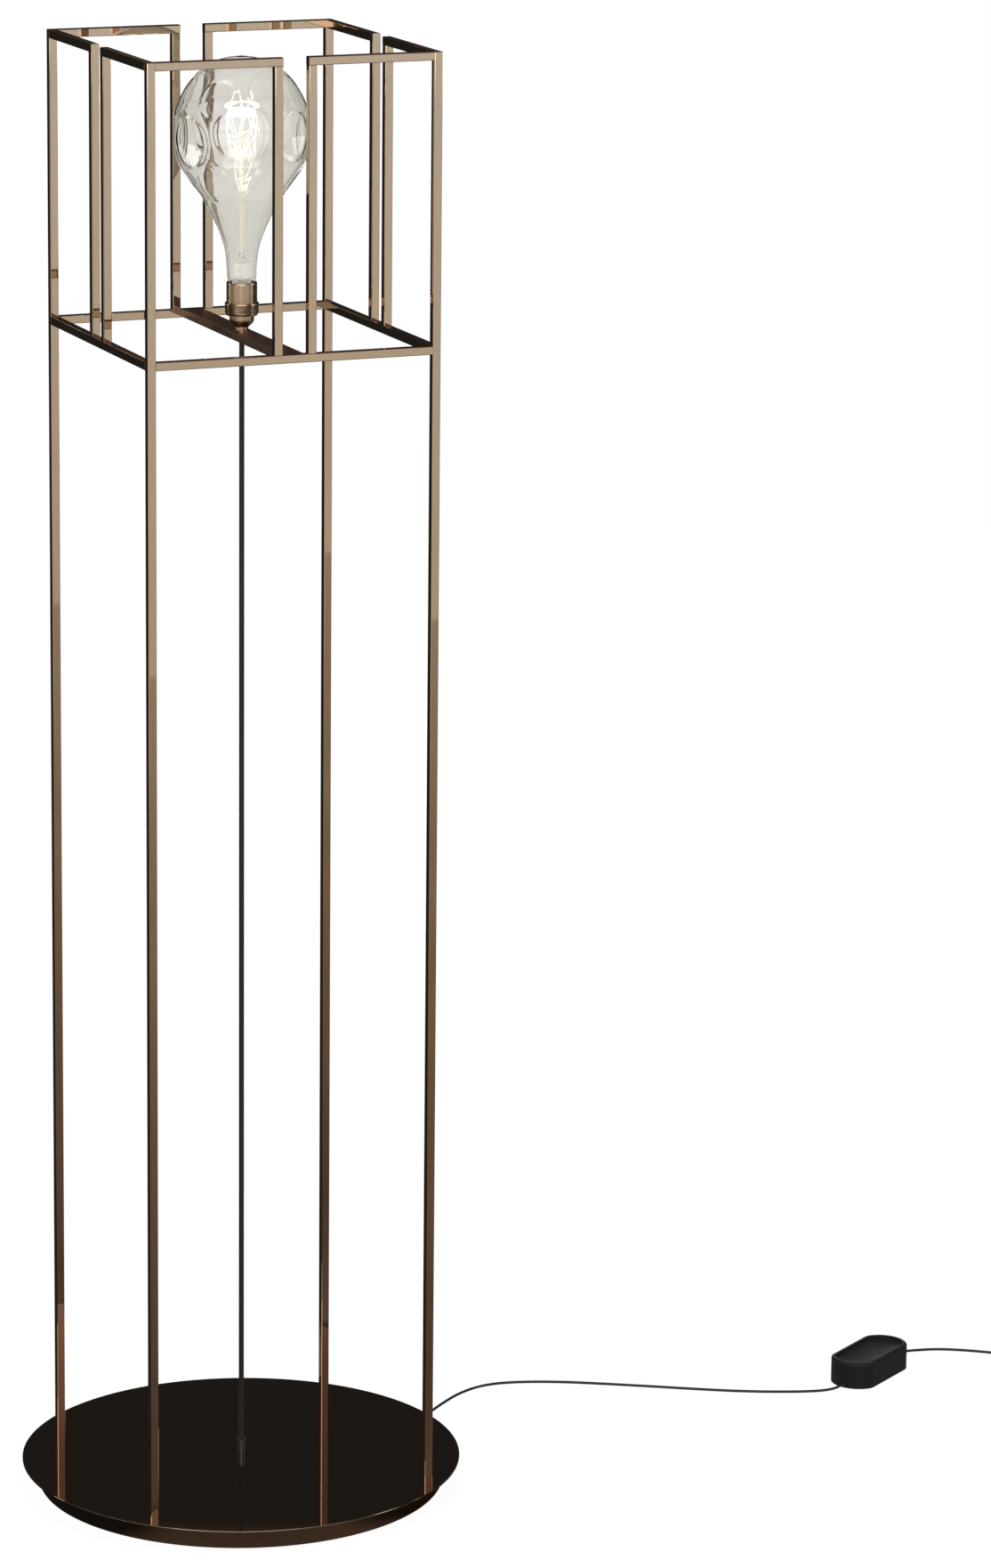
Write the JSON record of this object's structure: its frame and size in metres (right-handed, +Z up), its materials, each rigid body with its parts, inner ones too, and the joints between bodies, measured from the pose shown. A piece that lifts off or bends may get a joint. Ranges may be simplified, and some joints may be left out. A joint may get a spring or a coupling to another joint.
{
  "type": "wire cage floor lamp",
  "caption": "Floor lamp: slim square posts on a round base carry an open tube cage round a large pear-shaped bulb; lead with foot dimmer.",
  "frame": {"origin": "on the floor under the middle of the round base", "axes": "+Z up along the posts, +X from left to right along the front side of the cage, the front faces -Y"},
  "size_m": [1.3833, 0.53, 1.75],
  "materials": {
    "frame_paint": "polished bronze lacquer on steel",
    "iron": "raw casting, hidden in the base",
    "zinc": "zinc plated",
    "rubber": "black rubber",
    "black_plastic": "fine matt black",
    "lead_sleeve": "smooth black sleeve",
    "textile": "black braided textile over the cord",
    "bronze": "turned bronze, satin",
    "ceramic": "unglazed white ceramic",
    "brass": "plain brass",
    "cap_metal": "nickel plated",
    "glass": "smoky hand blown glass",
    "stem_glass": "clear pressed glass",
    "filament": "yellow coated flexible filament"
  },
  "bodies": {
    "lamp": {"post_front_left": "frame_paint", "post_front_right": "frame_paint", "post_back_left": "frame_paint", "post_back_right": "frame_paint", "ring_rail_front": "frame_paint", "ring_rail_back": "frame_paint", "ring_rail_left": "frame_paint", "ring_rail_right": "frame_paint", "top_rail_front_left": "frame_paint", "top_rail_front_right": "frame_paint", "top_rail_back_left": "frame_paint", "top_rail_back_right": "frame_paint", "top_rail_left_front": "frame_paint", "top_rail_left_back": "frame_paint", "top_rail_right_front": "frame_paint", "top_rail_right_back": "frame_paint", "upright_front_left": "frame_paint", "upright_front_right": "frame_paint", "upright_back_left": "frame_paint", "upright_back_right": "frame_paint", "upright_left_front": "frame_paint", "upright_left_back": "frame_paint", "upright_right_front": "frame_paint", "upright_right_back": "frame_paint", "cross_bar": "frame_paint", "base_disc": "frame_paint", "base_drum": "frame_paint", "base_ballast": "iron", "bottom_cover": "zinc", "cover_pillars": "zinc", "cover_screws": "zinc", "foot_pads": "rubber", "lead_bush": "rubber", "terminal_block": "black_plastic", "inner_lead": "lead_sleeve", "lamp_cord": "textile", "cord_grip": "bronze", "grip_set_screw": "zinc", "lock_nuts": "zinc", "holder_nipple": "bronze", "holder_cup": "bronze", "holder_shell": "bronze", "holder_shade_ring": "bronze", "holder_core": "ceramic", "holder_screw_shell": "brass", "holder_contact": "brass", "lead_to_dimmer": "lead_sleeve", "lead_to_plug": "lead_sleeve", "lead_coil": "lead_sleeve", "mains_plug": "black_plastic", "plug_pins": "cap_metal", "dimmer_housing": "black_plastic", "dimmer_base": "black_plastic", "dimmer_switch": "black_plastic", "dimmer_spring": "zinc"},
    "bulb_foot": {"bulb_cap": "cap_metal"},
    "bulb": {"bulb_glass": "glass", "bulb_stem": "stem_glass", "bulb_filament": "filament"},
    "foot_switch": {"dimmer_foot_plate": "black_plastic"}
  },
  "joints": [
    {"name": "bulb_rise", "type": "slide", "parent": "lamp", "child": "bulb_foot", "axis": [0, 0, 1], "range_m": [0, 0.018]},
    {"name": "bulb_turn", "type": "hinge", "parent": "bulb_foot", "child": "bulb", "pos_m": [0, 0, 1.45], "axis": [0, 0, 1], "range_deg": [0, 1800]},
    {"name": "foot_switch_press", "type": "slide", "parent": "lamp", "child": "foot_switch", "axis": [0, 0, -1], "range_m": [0, 0.003], "stiffness_N_per_m": 1500, "deforming": ["dimmer_spring"]}
  ],
  "couplings": [
    {"joint": "bulb_turn", "follows": "bulb_rise", "rad_per_m": 1735.7}
  ]
}
